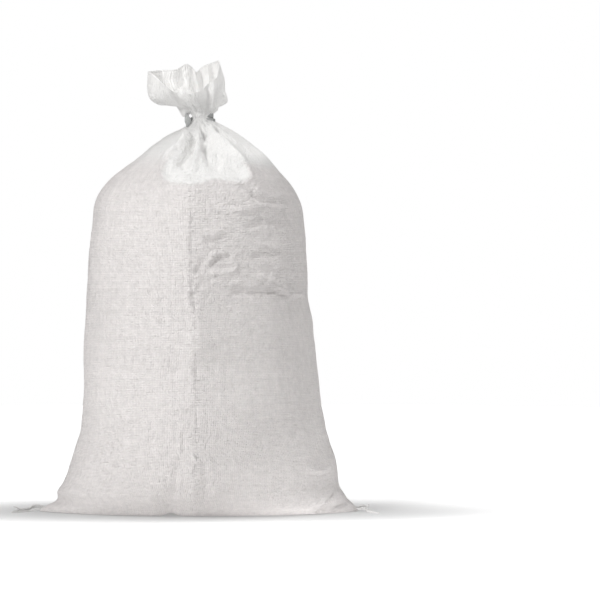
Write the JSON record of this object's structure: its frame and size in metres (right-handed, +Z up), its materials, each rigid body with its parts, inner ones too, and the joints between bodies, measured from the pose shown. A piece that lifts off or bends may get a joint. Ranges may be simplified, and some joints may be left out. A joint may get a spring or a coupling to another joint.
{
  "type": "woven polypropylene sack",
  "caption": "Filled woven plastic sack standing on its sewn bottom, with its mouth gathered and tied at the neck.",
  "frame": {"origin": "on the floor, in the middle of the flat underside, midway between the two ears", "axes": "+X along the bottom seam to the right ear, -Y towards the front, +Z up to the mouth"},
  "size_m": [0.495, 0.3158, 0.6134],
  "materials": {
    "woven_cloth": "off-white woven polypropylene tape with a slight sheen",
    "loose_fill": "dry loose building sand, not seen from outside",
    "tie_tape": "flat grey plastic tape, creased",
    "sewing_thread": "off-white fluffy bag-closing thread"
  },
  "bodies": {
    "root": {"woven_sack": "woven_cloth", "fill": "loose_fill", "neck_tie": "tie_tape", "thread_tail_left": "sewing_thread", "thread_tail_right": "sewing_thread"}
  },
  "joints": []
}
